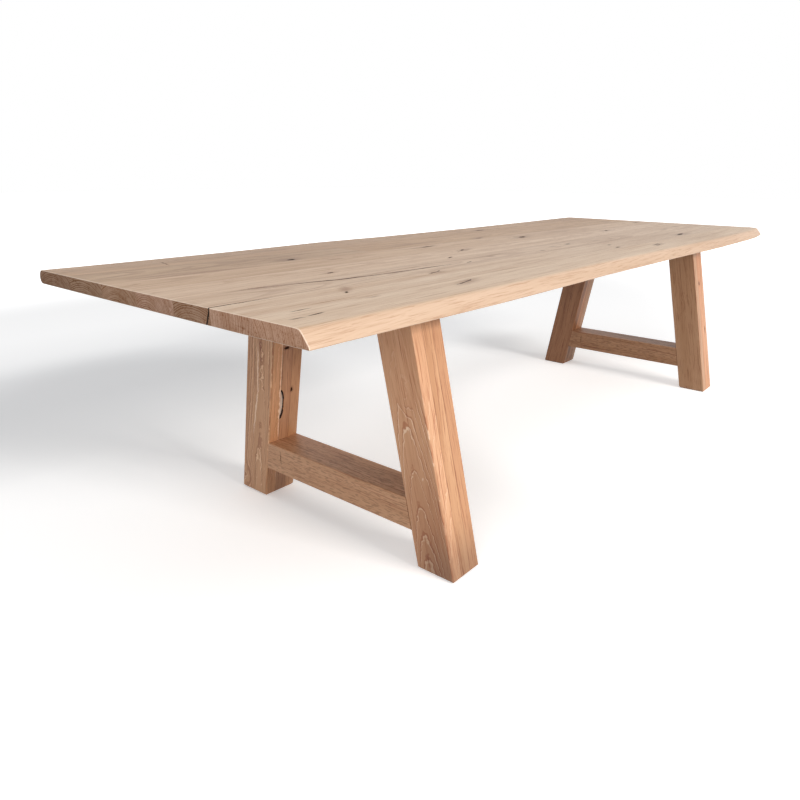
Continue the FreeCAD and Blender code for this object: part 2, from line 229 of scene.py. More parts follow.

    # End grain drinks more oil, so it is darker wherever a face cuts straight across the grain. The arrises
    # of the boards' ends, which lie between, get a painted highlight: their colour is mixed towards pale.
    end = add(tree, "MapRange", {"interpolation_type": "SMOOTHSTEP"}, {
        "Value": steep, "From Min": 0.6, "From Max": 0.95,
    })
    soaked = {"Fac": end, "Color1": colour, "Color2": linear(soak)}
    colour = add(tree, "MixRGB", {"blend_type": "MULTIPLY"}, soaked)
    # Painted highlight: the arrises of the ends are mixed towards pale.
    if painted_arris_highlight:
        eased = add(tree, "MapRange", {"interpolation_type": "SMOOTHSTEP"}, {
            "Value": steep, "From Min": 0.15, "From Max": 0.4, "To Max": painted_arris_highlight,
        })
        square = add(tree, "Math", {"operation": "LESS_THAN"}, {0: steep, 1: 0.9})
        arris_highlight_mask = add(tree, "Math", {"operation": "MULTIPLY"}, {0: eased, 1: square})
        colour = add(tree, "MixRGB", None, {"Fac": arris_highlight_mask, "Color1": colour, "Color2": linear("#f3e2d0")})
    for layer, blend, paint, depth in (
        ("pale", "MIX", linear("#f6dcc4"), 0.8),
        ("brown", "MULTIPLY", linear("#c4b1a3"), 0.75),
        ("dull", "MULTIPLY", linear("#f0ebe6"), 1.0),
        # Painted shade: a grey that darkens a leg towards its foot.
        ("painted_foot_shade", "MULTIPLY", linear("#c0bebd"), 1.0),
        # Painted light: a gain over one lightens and reddens.
        ("painted_light_strip", "MULTIPLY", PAINTED_LIGHT_GAIN, 1.0),
        ("dark", "MIX", knot, 0.95),
    ):
        if layer in layers:
            share = add(tree, "Math", {"operation": "MULTIPLY"}, {0: layers[layer], 1: depth})
            marked = {"Fac": share, "Color1": colour, "Color2": paint}
            colour = add(tree, "MixRGB", {"blend_type": blend}, marked)

    # The oil leaves a soft sheen, uneven along the streaks. End grain and knots stay dry and don't shine.
    shader = tree.nodes["Principled BSDF"]
    tree.links.new(colour.outputs[0], shader.inputs["Base Color"])
    sheen = add(tree, "MapRange", None, {"Value": streak.outputs["Fac"], "To Min": 0.38, "To Max": 0.58})
    tree.links.new(sheen.outputs[0], shader.inputs["Roughness"])
    dry = add(tree, "Math", {"operation": "MAXIMUM"}, {0: end, 1: layers.get("dark", 0.0)})
    shine = add(tree, "MapRange", None, {"Value": dry, "To Min": 0.5, "To Max": 0.0})
    tree.links.new(shine.outputs[0], shader.inputs["Specular IOR Level"])
    raised = add(tree, "Math", {"operation": "SUBTRACT"}, {0: streak.outputs["Fac"], 1: pores})
    relief = add(tree, "Bump", None, {"Strength": 0.3, "Distance": 0.4 * MM, "Height": raised})
    tree.links.new(relief.outputs[0], shader.inputs["Normal"])
    return material


# The staves as cut: their long edges are eased already, and the foot gets a chamfer so that it doesn't
# splinter when the table is pushed. The glue lines between the staves stay closed, and show as dark lines,
# drawn 4 mm wide so that they show.
FOOT_CHAMFER = 6 * MM
LEG_SIDES = (-1055, -944, 944, 1055)
LEG_HALF_WIDTH = 61.25
TOUCH = 0.01 * MM
STAVE_JOINTS = (981, 1018)
STAVE_GLUE_MIDDLE = 300
STAVE_GLUE_SIZE = (4, 3000, 3000)
FLAT_ANGLE = math.radians(0.5)
SMOOTH_ANGLE = math.radians(35)


def worked(node_name):
    """A copy of a CAD piece to work on, with its loose triangles merged and its flat faces made whole."""
    bpy.ops.object.select_all(action="DESELECT")
    piece = bpy.data.objects.new(f"{node_name}_worked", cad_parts[node_name].data.copy())
    bpy.context.collection.objects.link(piece)
    piece.select_set(True)
    bpy.context.view_layer.objects.active = piece
    bpy.ops.mesh.customdata_custom_splitnormals_clear()
    bpy.ops.object.mode_set(mode="EDIT")
    bpy.ops.mesh.select_all(action="SELECT")
    bpy.ops.mesh.remove_doubles(threshold=TOUCH)
    bpy.ops.mesh.dissolve_limited(angle_limit=FLAT_ANGLE)
    bpy.ops.object.mode_set(mode="OBJECT")
    return piece


def pick_edges(piece, wanted):
    """Go into edit mode with just the edges selected whose two ends together pass the test."""
    bpy.ops.object.mode_set(mode="EDIT")
    bpy.ops.mesh.select_mode(type="EDGE")
    bpy.ops.mesh.select_all(action="DESELECT")
    bpy.ops.object.mode_set(mode="OBJECT")
    points = piece.data.vertices
    for edge in piece.data.edges:
        edge.select = wanted(*(points[i].co for i in edge.vertices))
    bpy.ops.object.mode_set(mode="EDIT")


def dress(piece, node_name, paint):
    """Put the oak on a worked piece and let it stand for its CAD solid."""
    piece.data.materials.clear()
    piece.data.materials.append(paint)
    bpy.ops.object.shade_smooth_by_angle(angle=SMOOTH_ANGLE)
    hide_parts(node_name)
    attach(piece, "root")


def cut(piece, place, outward):
    """Saw off all of a piece that lies beyond a plane, and close the cut."""
    bpy.ops.object.mode_set(mode="EDIT")
    bpy.ops.mesh.select_all(action="SELECT")
    bpy.ops.mesh.bisect(plane_co=place, plane_no=outward, use_fill=True, clear_outer=True)
    bpy.ops.object.mode_set(mode="OBJECT")


# The pith is where the middle of each stave's log lies, in x and then in y from the middle of the leg.
# Painted shade: a grey cloud darkens the near front leg towards its foot, on all three staves.
FRONT_FOOT_SHADE = ("painted_foot_shade", (-1000, -505, 0), (400, 300, 380), (0, 0, 0))
STAVES = {
    "left_front_leg_outer_stave": {
        "pith": (-1006, 8), "start": -20, "taper": 0.1, "lines": 1.0, "seed": 2.3,
        "drift": 22, "ring": 10, "jag": 6,
        "tones": ("#dcac87", "#c7926b", "#f0d0b2", "#3b2416"),
        "marks": [
            ("pale", (-1055, -427, 270), (40, 9, 14), (0, 0, 0)),
            ("burl", (-1055, -362, 495), (90, 60, 180), (-11.5, 0, 0)),
            ("plain", (-1055, -340, 690), (200, 400, 560), (-11.5, 0, 0)), FRONT_FOOT_SHADE,
            # Painted shade: this brown cloud also darkens the outside face towards the foot.
            ("stain", (-1055, -470, 80), (40, 300, 800), (-11.5, 0, 0)),
        ],
    },
    "left_front_leg_middle_stave": {
        "pith": (-920, 90), "taper": 0.03, "lines": 0.25, "seed": 4.1,
        "tones": ("#d4a47d", "#bd8a63", "#a8724b", "#3b2416"), "marks": [FRONT_FOOT_SHADE],
    },
    "left_front_leg_inner_stave": {
        "pith": (-900, -90), "taper": 0.03, "lines": 0.25, "seed": 5.7,
        "tones": ("#d2a079", "#b9845e", "#a16a45", "#3b2416"), "marks": [FRONT_FOOT_SHADE],
    },
    "left_back_leg_outer_stave": {
        "pith": (-1018, -14), "taper": 0.035, "lines": 0.9, "seed": 7.9,
        "drift": 24, "ring": 10, "jag": 7,
        "tones": ("#ca9c78", "#b5855f", "#e3be9a", "#3b2416"),
        "marks": [
            ("pale", (-1055, 232, 438), (30, 8, 230), (9.6, 0, 0)),
            ("pale", (-1055, 262, 300), (30, 8, 230), (16.6, 0, 0)),
            ("stain", (-1055, 243, 450), (30, 12, 200), (9.6, 0, 0)),
            # Painted highlight: a pale line down the glue line on the leg's inner face.
            ("pale", (-1018, 190, 312), (11, 60, 640), (11.5, 0, 0)),
            ("burl", (-1055, 330, 40), (90, 90, 200), (11.5, 0, 0)),
            # Painted light: this stave's strip of the inner face is made lighter and redder.
            ("painted_light_strip", (-1030, 190, 312), (60, 30, 1400), (11.5, 0, 0)),
        ],
    },
    "left_back_leg_middle_stave": {
        "pith": (-940, -120), "taper": 0.03, "lines": 0.3, "seed": 9.2,
        "tones": ("#c3906c", "#a97450", "#966342", "#2e1a10"),
        "marks": [
            # A dark spot just under the top, and a dark line down the glue line below it.
            ("knot", (-1003, 152, 508), (30, 60, 14), (0, 0, 0)),
            ("stain", (-1016, 165, 440), (8, 60, 190), (0, 0, 0)),
        ],
    },
    "left_back_leg_inner_stave": {
        "pith": (-880, 160), "taper": 0.03, "lines": 0.3, "seed": 11.4,
        "tones": ("#c9976f", "#af7a53", "#9d6640", "#2e1a10"),
        "marks": [("knot", (-977, 179, 365), (14, 40, 20), (0, 0, 0))],
    },
    "right_front_leg_inner_stave": {
        "pith": (962, 330), "taper": 0.01, "lines": 0.25, "seed": 13.8,
        "tones": ("#cb9f7d", "#b68965", "#a27452", "#2e1a10"), "marks": [],
    },
    "right_front_leg_middle_stave": {
        "pith": (1000, 200), "taper": 0.02, "lines": 0.25, "seed": 15.1,
        "tones": ("#d9a37b", "#c0855c", "#ab6e47", "#2e1a10"),
        "marks": [("knot", (996, -422, 519), (16, 40, 26), (0, 0, 0))],
    },
    "right_front_leg_outer_stave": {
        "pith": (1130, 40), "taper": 0.05, "lines": 0.4, "seed": 17.6,
        "tones": ("#d9a37b", "#bd8259", "#ab6e47", "#2e1a10"),
        "marks": [("check", (1030, -470, 292), (9, 40, 60), (0, 0, 0))],
    },
    "right_back_leg_inner_stave": {
        "pith": (870, 300), "taper": 0.01, "lines": 0.25, "seed": 19.3,
        "tones": ("#a47351", "#8b5b3b", "#805332", "#2e1a10"), "marks": [],
    },
    "right_back_leg_middle_stave": {
        "pith": (1010, -200), "taper": 0.02, "lines": 0.3, "seed": 21.9,
        "tones": ("#d3a07a", "#b57d57", "#a36b46", "#2e1a10"), "marks": [],
    },
    "right_back_leg_outer_stave": {
        "pith": (1120, -30), "taper": 0.05, "lines": 0.45, "seed": 23.5,
        "tones": ("#d6a781", "#b98760", "#e2bb98", "#2e1a10"), "marks": [],
    },
}
for name, stave in STAVES.items():
    end = "front" if "front" in name else "back"
    lean = LEG_LEAN if end == "front" else -LEG_LEAN
    pith = (stave["pith"][0], LEG_MIDDLES[end] + stave["pith"][1], stave.get("start", 0))
    across = 1 if "right" in name else -1
    glue = [
        ("glue", (across * joint, 0, STAVE_GLUE_MIDDLE), STAVE_GLUE_SIZE, (0, 0, 0)) for joint in STAVE_JOINTS
    ]
    paint = oak(name, (0, lean, 1), pith, stave["tones"], stave["marks"] + glue, ring=stave.get("ring", 4.2),
                taper=stave["taper"], lines=stave["lines"], drift=stave.get("drift", 35),
                jag=stave.get("jag", 0), flat_face=(1, 0, 0), seed=stave["seed"])
    piece = worked(name)
    low_side, high_side = sorted(side for side in LEG_SIDES if side * across > 0)
    for side, outward in ((low_side, -1), (high_side, 1)):
        cut(piece, (side * MM, 0, FOOT_CHAMFER), (outward, 0, -1))
        cut(piece, (0, (LEG_MIDDLES[end] + outward * LEG_HALF_WIDTH) * MM, FOOT_CHAMFER), (0, outward, -1))
    dress(piece, name, paint)

# The hollow in the left back leg's middle stave: bark grew in there, and its dark crust still lines the rim.
# Deeper in, the crust has come away and pale wood shows. The crumbs are about 4 mm across.
# Its faces lie this far behind the leg's front face, between these heights and left of its inner end.
BACK_LEG_FACE = 253.5 * MM
CRUST_DEPTH = 7 * MM
HOLLOW_START, HOLLOW_FLOOR = 0.3 * MM, 18 * MM
HOLLOW_FOOT, HOLLOW_HEAD = 260 * MM, 380 * MM
HOLLOW_END = -1002 * MM
STAVE_SIDE_FACING = -0.99
bark = bpy.data.materials.new("ingrown oak bark")
bark.use_nodes = True
tree = bark.node_tree
place = add(tree, "TexCoord").outputs["Object"]
square_in = add(tree, "VectorMath", {"operation": "DOT_PRODUCT"}, {0: place, 1: (0, 1, LEG_LEAN)})
inward = square_in.outputs["Value"]
crumbs = add(tree, "TexNoise", None, {"Vector": place, "Scale": 260, "Detail": 4})
uneven = add(tree, "Math", {"operation": "MULTIPLY_ADD"}, {0: crumbs.outputs["Fac"], 1: 2 * MM, 2: inward})
crust = add(tree, "MapRange", {"interpolation_type": "SMOOTHSTEP"}, {
    "Value": uneven,
    "From Min": BACK_LEG_FACE + CRUST_DEPTH,
    "From Max": BACK_LEG_FACE + CRUST_DEPTH + 2 * MM,
})
shade = add(tree, "MixRGB", None, {"Fac": crust, "Color1": linear("#2a140a"), "Color2": linear("#fff0e2")})
rough_bark = add(tree, "Bump", None, {"Strength": 0.8, "Distance": 1 * MM, "Height": crumbs.outputs["Fac"]})
shader = tree.nodes["Principled BSDF"]
shader.inputs["Roughness"].default_value = 0.85
tree.links.new(shade.outputs[0], shader.inputs["Base Color"])
tree.links.new(rough_bark.outputs[0], shader.inputs["Normal"])
hollow_stave = bpy.data.objects["left_back_leg_middle_stave_worked"]
hollow_stave.data.materials.append(bark)
for face in hollow_stave.data.polygons:
    behind = face.center.y + LEG_LEAN * face.center.z - BACK_LEG_FACE
    inside = HOLLOW_START < behind < HOLLOW_FLOOR and HOLLOW_FOOT < face.center.z < HOLLOW_HEAD
    if inside and face.center.x < HOLLOW_END and face.normal.x > STAVE_SIDE_FACING:
        face.material_index = 1

# The stretchers: one beam low down between the legs of each trestle, sawn from solid oak and left unfigured.
# A stub tenon at each end sits in the notch of the leg's middle stave.
BEAM_TONES = {
    "left": ("#cea17e", "#b48460", "#8d6343", "#3b2416"),
    "right": ("#bf9270", "#a47552", "#80573a", "#3b2416"),
}


def coat(node_name, paint):
    """Give a CAD solid, which keeps its shape, its own finish."""
    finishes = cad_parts[node_name].data.materials
    finishes.clear()
    finishes.append(paint)


for side, place, seed in (("left", -1000, 3.3), ("right", 1000, 6.1)):
    name = f"{side}_stretcher"
    marks = [
        ("check", (place - 55, 157, 163), (30, 3.5, 60), (0, 0, 0)),
        ("stain", (place - 18, -240, 198), (18, 70, 20), (0, 0, 0)),
        ("stain", (place + 14, -60, 198), (12, 240, 14), (0, 0, 2)),
        ("stain", (place - 4, 60, 198), (10, 160, 14), (0, 0, -2)),
    ]
    paint = oak(name, (0, 1, 0), (place + 20, 0, 60), BEAM_TONES[side], marks, ring=5, taper=0.02, lines=0.2,
                drift=12, flecks=0.65, seed=seed)
    coat(name, paint)

# The upper rails: a beam like the stretcher, of the same oak, between the tops of the legs of each trestle.
# Its stub tenons sit in the legs' upper notches, and the top is bolted down on it.
for side, place, seed in (("left", -1000, 8.7), ("right", 1000, 12.9)):
    name = f"{side}_upper_rail"
    paint = oak(name, (0, 1, 0), (place - 70, 0, 640), BEAM_TONES[side], ring=5, taper=0.02, lines=0.3,
                drift=12, seed=seed)
    coat(name, paint)


# The fixings of the top: hex bolts with wide washers, from below into threaded inserts in the boards.
# They are turned steel with a thin zinc coat: pale grey, a little cloudy, with fine turning lines.
# The clouds are about 5 mm across, and the lines are drawn 0.4 mm apart, coarser than real ones, to show.
ZINC_CLOUDS = 220
TURNING_LINES = (400, 400, 2500)


def plated_steel(name, tones, roughness):
    """Zinc-plated steel: a grey metal with a cloudy coat and fine scratches that scatter its shine."""
    material = bpy.data.materials.new(name)
    material.use_nodes = True
    tree = material.node_tree
    place = add(tree, "TexCoord").outputs["Object"]
    cloud = add(tree, "TexNoise", None, {"Vector": place, "Scale": ZINC_CLOUDS, "Detail": 4})
    thin = add(tree, "VectorMath", {"operation": "MULTIPLY"}, {0: place, 1: TURNING_LINES})
    scratch = add(tree, "TexNoise", None, {"Vector": thin, "Scale": 1, "Detail": 2})
    colour = add(tree, "MixRGB", None, {
        "Fac": cloud.outputs["Fac"], "Color1": linear(tones[0]), "Color2": linear(tones[1]),
    })
    rough = add(tree, "MapRange", None, {
        "Value": scratch.outputs["Fac"], "To Min": roughness - 0.12, "To Max": roughness + 0.12,
    })
    relief = add(tree, "Bump", None, {
        "Strength": 0.2, "Distance": 0.05 * MM, "Height": scratch.outputs["Fac"],
    })
    shader = tree.nodes["Principled BSDF"]
    shader.inputs["Metallic"].default_value = 1
    tree.links.new(colour.outputs[0], shader.inputs["Base Color"])
    tree.links.new(rough.outputs[0], shader.inputs["Roughness"])
    tree.links.new(relief.outputs[0], shader.inputs["Normal"])
    return material


zinc = plated_steel("bright zinc plated steel", ("#c9ccd0", "#a9adb3"), 0.38)
insert_zinc = plated_steel("plain zinc plated steel", ("#b9b8ae", "#97968c"), 0.45)
for side in ("left", "right"):
    for fixing, paint in (("top_bolts", zinc), ("bolt_washers", zinc), ("threaded_inserts", insert_zinc)):
        coat(f"{side}_{fixing}", paint)

# The inner boards of the top: oak planed to 36 mm, glued edge to edge, with a matt oil and eased ends.
# The sixth board is two lengths that meet end to end. A mark on a board goes right through it, and the glue
# lines are drawn 3.5 mm wide, so that they show.
END_ARRIS = 2.4 * MM
TOP_FACE = 760 * MM
TOP_END = 1500 * MM
MARK_MIDDLE = 745
MARK_HEIGHT = 400
GLUE_LENGTH = 4000
GLUE_WIDTH = 3.5


def on_end_arris(a, b):
    """An edge round either end of the top, but not one on a glue line."""
    at_end = abs(abs(a.x) - TOP_END) < TOUCH and abs(a.x - b.x) < TOUCH
    return at_end and abs(a.y - b.y) > TOUCH


def flat(kind, x, y, long, wide, turn=0.0):
    """A mark on the upper face of a board, right through it."""
    return kind, (x, y, MARK_MIDDLE), (long, wide, MARK_HEIGHT), (0, 0, turn)


def glue_line(y):
    """The dark line where a board is glued to the next one."""
    return flat("glue", 0, y, GLUE_LENGTH, GLUE_WIDTH)


BOARDS = {
    "top_board_2": {
        "tones": ("#d9c2aa", "#c7a98d", "#a68163", "#241811"),
        "pith": (0, 20, 745), "taper": 0.01, "seed": 1.7, "soak": "#e5d6d7",
        "marks": [
            flat("dull", 520, -345, 1500, 400), flat("knot", -1210, -345, 24, 10, 40),
            flat("stain", -1185, -315, 120, 50, 50),
            flat("check", -860, -300, 60, 6, 12), flat("check", -828, -291, 36, 7, 25),
            flat("stain", -845, -300, 100, 60),
            flat("knot", 135, -335, 30, 13), flat("knot", 80, -395, 34, 13),
            flat("knot", 800, -370, 130, 27, 8),
            flat("stain", 800, -375, 300, 80), flat("check", -1420, -277, 180, 4),
        ],
    },
    "top_board_3": {
        "tones": ("#d3b99f", "#bf9f82", "#a17c5e", "#241811"),
        "pith": (0, -220, 590), "taper": 0.02, "seed": 3.1, "soak": "#d2c8c8",
        "marks": [
            flat("dull", 280, -210, 900, 400),
            flat("stain", -1270, -163, 300, 36, -6), flat("stain", -1080, -203, 300, 28, -8),
            flat("stain", -820, -226, 460, 26, -2), flat("check", -1300, -157, 130, 3, -5),
            flat("check", -1135, -193, 70, 8, -12), flat("check", -1062, -208, 80, 9, -6),
            flat("check", -985, -217, 60, 6, -5),
            flat("check", -900, -222, 70, 6, -3), flat("check", -815, -226, 60, 5),
            flat("check", -620, -240, 50, 7, 20), flat("stain", -465, -210, 60, 40),
            flat("stain", -205, -245, 70, 30, 20), flat("stain", -65, -205, 60, 30),
            flat("knot", 50, -205, 40, 16),
            flat("stain", 1030, -210, 120, 30), flat("stain", 1230, -190, 140, 40),
            flat("stain", 1400, -240, 120, 30), flat("check", -1420, -275, 180, 3),
        ],
    },
    "top_board_4": {
        "tones": ("#d8bea5", "#c4a588", "#a47e5f", "#241811"),
        "pith": (0, -40, 690), "taper": 0.03, "seed": 5.2, "soak": "#e1d6db",
        "marks": [
            flat("knot", -385, -35, 50, 14, 25), flat("knot", -575, -132, 42, 11, 20),
            flat("knot", -1040, -102, 34, 11, 10), flat("stain", -1040, -102, 90, 36, 10),
            flat("stain", -380, -40, 180, 50, 15), flat("knot", 740, -35, 60, 19, 10),
            flat("stain", 740, -40, 200, 60),
        ],
    },
    "top_board_5": {
        "tones": ("#d3b699", "#be9d7e", "#9f7958", "#241811"),
        "pith": (0, 95, 660), "taper": 0.02, "seed": 7.4, "soak": "#ddd6db",
        "marks": [
            flat("dull", -1050, 80, 1500, 400), flat("dull", 520, 80, 1100, 400),
            flat("knot", -385, 122, 100, 16, 6), flat("stain", -415, 118, 220, 50),
            flat("stain", -1250, 145, 560, 50),
            flat("knot", 170, 75, 76, 32, 15), flat("stain", 170, 75, 240, 80, 10),
            flat("check", 1390, 88, 170, 10, 4), flat("stain", 1390, 88, 240, 40),
        ],
    },
    "top_board_6_left": {
        "tones": ("#c0a080", "#aa8968", "#8c694d", "#241811"),
        "pith": (0, 260, 600), "taper": 0.03, "seed": 9.6, "soak": "#edeeff",
        "marks": [
            flat("knot", -940, 183, 46, 26, 20), flat("stain", -945, 188, 170, 90, 15),
            flat("stain", -1350, 172, 300, 30),
            flat("glue", -640, 239, 5, 170), flat("dull", -960, 240, 900, 400),
        ],
    },
    "top_board_6_right": {
        "tones": ("#c6a27c", "#ad8864", "#936d4e", "#241811"),
        "pith": (0, 230, 560), "taper": 0.02, "seed": 12.3, "soak": "#edeeff",
        "marks": [
            flat("check", 0, 176, 80, 10, 8), flat("stain", 0, 180, 150, 60, 10),
            flat("dull", -560, 240, 900, 400),
        ],
    },
}
for name, board in BOARDS.items():
    piece = worked(name)
    glue = [glue_line(corner[1] / MM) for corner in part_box(name)]
    pick_edges(piece, on_end_arris)
    bpy.ops.mesh.bevel(offset=END_ARRIS, segments=3, affect="EDGES")
    bpy.ops.object.mode_set(mode="OBJECT")
    paint = oak(name, (1, 0, 0), board["pith"], board["tones"], board["marks"] + glue, ring=5,
                taper=board["taper"], lines=0.45, drift=16, soak=board["soak"], painted_arris_highlight=0.5, seed=board["seed"])
    dress(piece, name, paint)

# Drying cracks in the third board: one wanders down the upper face, and one has opened beside the joint in
# the near end. Their insides are painted near black, which is painted shade in the cut. A path gives x, y
# and z in millimetres, and the share of the crack's width that is open there. A depth is how far the crack
# goes in, in half widths.
CRACK_WIDTH = 5.5 * MM
CRACK_DEPTH = 2.5
LONG_CRACK = [
    (-1290, -163, 760, 0.1), (-1230, -173, 760, 0.35), (-1185, -181, 760, 0.9), (-1150, -188, 760, 1.2),
    (-1120, -199, 760, 0.7), (-1080, -207, 760, 1.3), (-1040, -209, 760, 0.6), (-1000, -215, 760, 1.1),
    (-955, -219, 760, 0.5), (-905, -222, 760, 1.0), (-850, -225, 760, 0.4), (-800, -226, 760, 0.9),
    (-745, -229, 760, 0.4), (-690, -233, 760, 0.1),
]
END_SPLIT_WIDTH = 5.5 * MM
END_SPLIT_DEPTH = 28
END_SPLIT = [
    (-1501, -276, 768, 0.9), (-1501, -275.5, 756, 1.0), (-1501, -274, 748, 0.8), (-1501, -269.5, 741, 1.1),
    (-1501, -268, 734, 0.8), (-1501, -263, 727, 1.0), (-1501, -259, 716, 0.9),
]
# Painted shade: the cut faces of the cracks are near black.
crack_shade = bpy.data.materials.new("painted shade inside a crack")
crack_shade.use_nodes = True
tree = crack_shade.node_tree
place = add(tree, "TexCoord").outputs["Object"]
fibres = add(tree, "TexNoise", None, {"Vector": place, "Scale": 300, "Detail": 3})
shade = add(tree, "MixRGB", None, {
    "Fac": fibres.outputs["Fac"], "Color1": linear("#140c07"), "Color2": linear("#33241a"),
})
tree.links.new(shade.outputs[0], tree.nodes["Principled BSDF"].inputs["Base Color"])
tree.nodes["Principled BSDF"].inputs["Roughness"].default_value = 0.9


def crack(piece, path, width, deep):
    """Cut a crack out of a board: a tube along the path, stretched inwards, whose painted shade stays in the
    cut.
    """
    bpy.ops.object.select_all(action="DESELECT")
    bpy.ops.curve.primitive_nurbs_path_add()
    line = bpy.context.object.data.splines[0]
    line.points.add(max(0, len(path) - len(line.points)))
    for point, (x, y, z, share) in zip(line.points, path):
        point.co = (x * MM, y * MM, z * MM, 1)
        point.radius = share
    line.order_u = 3
    line.use_endpoint_u = True
    bpy.context.object.data.bevel_depth = width / 2
    bpy.context.object.data.bevel_resolution = 1
    bpy.context.object.data.use_fill_caps = True
    bpy.ops.object.convert(target="MESH")
    cutter = bpy.context.object
    cutter.data.materials.append(crack_shade)
    bpy.ops.object.mode_set(mode="EDIT")
    bpy.ops.mesh.select_all(action="SELECT")
    bpy.ops.transform.resize(value=deep, center_override=[c * MM for c in path[0][:3]])
    bpy.ops.object.mode_set(mode="OBJECT")
    bpy.ops.object.select_all(action="DESELECT")
    piece.select_set(True)
    bpy.context.view_layer.objects.active = piece
    bpy.ops.object.modifier_add(type="BOOLEAN")
    taken = piece.modifiers[-1]
    taken.operation = "DIFFERENCE"
    taken.material_mode = "TRANSFER"
    taken.object = cutter
    bpy.ops.object.modifier_apply(modifier=taken.name)
    bpy.data.objects.remove(cutter)


third_board = bpy.data.objects["top_board_3_worked"]
crack(third_board, LONG_CRACK, CRACK_WIDTH, (1, 1, CRACK_DEPTH))
crack(third_board, END_SPLIT, END_SPLIT_WIDTH, (END_SPLIT_DEPTH, 1, 1))
bpy.ops.object.shade_smooth_by_angle(angle=SMOOTH_ANGLE)

# The front board keeps the tree's own edge with the bark off: it leans back and rounds over into the top.
# A point of its section is how far it lies back from the edge's outermost line, and below the upper face.
# The wander is how far the edge stands out from the CAD solid's at places along the top, in millimetres.
LONG_EDGE = 1000 * MM
UPRIGHT_EDGE = 30 * MM
STATIONS = 75
CORNER_RADIUS = 24
CORNER_STEPS = (24, 14.8, 8.4, 4)
EDGE_WAVES = (("slow", 0.65, 280 * MM), ("quick", 0.35, 60 * MM))
CLEAR_OF_TABLE = 2
JUST_INSIDE = 0.999
FRONT_RAY_HEIGHT = 726.5 * MM
FRONT_WAVE = 8 * MM
EDGE_FACING = -0.4
FRONT_WANDER = [
    (-1500, -12), (-950, -10), (-350, -19), (200, -9), (700, 5), (1150, 6), (1300, 0),
    (1400, -13), (1500, -23),
]
FRONT_SECTION = [
    (2.5, 36), (0.6, 35.3), (0, 33.5), (1.2, 30), (4.6, 24.7), (8.5, 19.3), (12.2, 14.2), (15.5, 10),
    (18.3, 6.8), (21, 4), (24, 1.9), (28, 0.9), (33, 0.35), (41, 0),
]


def live_board(node_name, outward, section):
    """A board with a natural edge: a block cut into even steps, its outer side drawn to the section."""
    low, high = (Vector(corner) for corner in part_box(node_name))
    outer = high.y if outward > 0 else low.y
    bpy.ops.object.select_all(action="DESELECT")
    bpy.ops.mesh.primitive_cube_add(size=1, location=(low + high) / 2, scale=high - low)
    bpy.ops.object.transform_apply(location=True, rotation=False, scale=True)
    piece = bpy.context.object
    piece.name = f"{node_name}_worked"
    pick_edges(piece, lambda a, b: abs(a.x - b.x) > LONG_EDGE)
    bpy.ops.mesh.subdivide(number_cuts=STATIONS - 1)
    bpy.ops.object.mode_set(mode="OBJECT")
    pick_edges(piece, lambda a, b: abs(a.y - outer) + abs(b.y - outer) < TOUCH
               and abs(a.z - b.z) > UPRIGHT_EDGE)
    bpy.ops.mesh.subdivide(number_cuts=len(section) - 2)
    for step in CORNER_STEPS:
        bpy.ops.mesh.select_all(action="SELECT")
        bpy.ops.mesh.bisect(plane_co=(TOP_END - step * MM, 0, 0), plane_no=(1, 0, 0))
    bpy.ops.object.mode_set(mode="OBJECT")
    rows = sorted({round(v.co.z, 5) for v in piece.data.vertices})
    for height, (back, below) in zip(rows, section):
        pick_edges(piece, lambda a, b: abs(a.y - outer) + abs(b.y - outer) < TOUCH
                   and abs(a.z - height) + abs(b.z - height) < TOUCH)
        bpy.ops.transform.translate(value=(0, -outward * back * MM, TOP_FACE - below * MM - height))
        bpy.ops.object.mode_set(mode="OBJECT")
    return piece


def follow_edge(piece, node_name, outward, height, reach, wander):
    """Move each step of a live board to the CAD solid's edge, as it is at a height, plus the wander.

    A slow and a quick wave within the reach then make the edge uneven. The right end's outer corner is
    rounded off."""
    low, high = (Vector(corner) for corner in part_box(node_name))
    outer, inner = (high.y, low.y) if outward > 0 else (low.y, high.y)
    for x in sorted({round(v.co.x, 4) for v in piece.data.vertices}):
        start = (JUST_INSIDE * x, CLEAR_OF_TABLE * outward, height)
        _, spot, _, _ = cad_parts[node_name].ray_cast(start, (0, -outward, 0))
        left, right = next(pair for pair in zip(wander, wander[1:]) if x <= (pair[1][0] + 0.1) * MM)
        share = (x / MM - left[0]) / (right[0] - left[0])
        proud = left[1] + (right[1] - left[1]) * share
        into_corner = max(0, (x - TOP_END) / MM + CORNER_RADIUS)
        proud -= CORNER_RADIUS - math.sqrt(max(0, CORNER_RADIUS ** 2 - into_corner ** 2))
        pick_edges(piece, lambda a, b: abs(a.x - x) + abs(b.x - x) < TOUCH
                   and min(abs(a.y - inner), abs(b.y - inner)) > TOUCH)
        bpy.ops.transform.translate(value=(0, spot.y - outer + outward * proud * MM, 0))
        bpy.ops.object.mode_set(mode="OBJECT")
    edge = piece.vertex_groups.new(name="natural edge")
    for point in piece.data.vertices:
        if abs(point.co.y - inner) > TOUCH:
            edge.add([point.index], 1, "REPLACE")
    for label, share, length in EDGE_WAVES:
        wave = bpy.data.textures.new(f"{piece.name} {label}", "CLOUDS")
        wave.noise_scale = length
        bpy.ops.object.modifier_add(type="DISPLACE")
        shift = piece.modifiers[-1]
        shift.texture = wave
        shift.texture_coords = "LOCAL"
        shift.direction = "Y"
        shift.strength = share * reach
        shift.vertex_group = edge.name
        bpy.ops.object.modifier_apply(modifier=shift.name)
    pick_edges(piece, on_end_arris)
    bpy.ops.mesh.bevel(offset=END_ARRIS, segments=3, affect="EDGES")
    bpy.ops.object.mode_set(mode="OBJECT")


